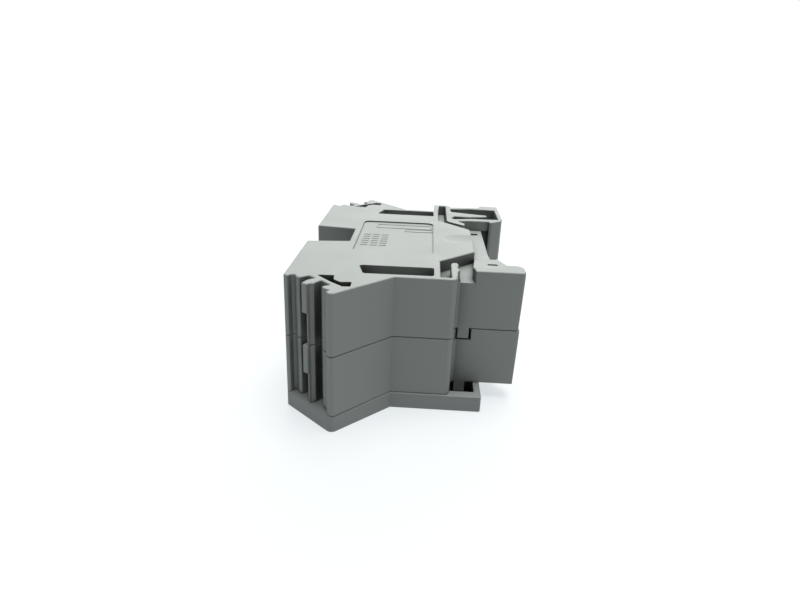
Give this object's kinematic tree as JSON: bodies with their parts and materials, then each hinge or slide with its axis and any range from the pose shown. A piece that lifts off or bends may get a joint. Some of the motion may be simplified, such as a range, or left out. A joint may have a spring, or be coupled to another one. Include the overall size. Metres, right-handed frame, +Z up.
{
  "type": "rail-mounted terminal block stack",
  "caption": "Side-by-side rail-mounted feed-through terminal blocks with spring clamps, sprung rail feet, a cross-connection channel and an end plate.",
  "frame": {"origin": "centre of the bounding box's footprint at the end plate's underside", "axes": "+Z up through the stack of blocks, +X from the wire side to the rail side, +Y along the blocks towards the sprung rail foot"},
  "size_m": [0.06, 0.1008, 0.0364],
  "materials": {
    "housing_polyamide": "moulded gray polyamide, fine matte grain",
    "plate_polyamide": "moulded gray polyamide, fine matte grain",
    "tinned_copper": "tin-plated copper bar",
    "spring_steel": "rolled stainless spring strip"
  },
  "bodies": {
    "end_plate": {"end_plate": "plate_polyamide"},
    "lower_block": {"lower_housing": "housing_polyamide", "lower_current_bar": "tinned_copper", "lower_near_clamp_spring": "spring_steel", "lower_far_clamp_spring": "spring_steel"},
    "lower_foot": {"lower_release_foot": "housing_polyamide"},
    "lower_near_cage": {"lower_near_clamp_cage": "spring_steel"},
    "lower_far_cage": {"lower_far_clamp_cage": "spring_steel"},
    "upper_block": {"upper_housing": "housing_polyamide", "upper_current_bar": "tinned_copper", "upper_near_clamp_spring": "spring_steel", "upper_far_clamp_spring": "spring_steel"},
    "upper_foot": {"upper_release_foot": "housing_polyamide"},
    "upper_near_cage": {"upper_near_clamp_cage": "spring_steel"},
    "upper_far_cage": {"upper_far_clamp_cage": "spring_steel"}
  },
  "joints": [
    {"name": "lower_block_lift", "type": "slide", "parent": "end_plate", "child": "lower_block", "axis": [0, 0, 1], "range_m": [0, 0.012]},
    {"name": "lower_foot_release", "type": "hinge", "parent": "lower_block", "child": "lower_foot", "pos_m": [0.0083, 0.046, 0.01243], "axis": [0, 0, 1], "range_deg": [0, 4.5], "stiffness_Nm_per_rad": 8},
    {"name": "lower_near_clamp_open", "type": "slide", "parent": "lower_block", "child": "lower_near_cage", "axis": [0, 1, 0], "range_m": [0, 0.0082], "stiffness_N_per_m": 1500},
    {"name": "lower_far_clamp_open", "type": "slide", "parent": "lower_block", "child": "lower_far_cage", "axis": [0, -1, 0], "range_m": [0, 0.0082], "stiffness_N_per_m": 1500},
    {"name": "upper_block_lift", "type": "slide", "parent": "lower_block", "child": "upper_block", "axis": [0, 0, 1], "range_m": [0, 0.012]},
    {"name": "upper_foot_release", "type": "hinge", "parent": "upper_block", "child": "upper_foot", "pos_m": [0.0083, 0.046, 0.02842], "axis": [0, 0, 1], "range_deg": [0, 4.5], "stiffness_Nm_per_rad": 8},
    {"name": "upper_near_clamp_open", "type": "slide", "parent": "upper_block", "child": "upper_near_cage", "axis": [0, 1, 0], "range_m": [0, 0.0082], "stiffness_N_per_m": 1500},
    {"name": "upper_far_clamp_open", "type": "slide", "parent": "upper_block", "child": "upper_far_cage", "axis": [0, -1, 0], "range_m": [0, 0.0082], "stiffness_N_per_m": 1500}
  ]
}
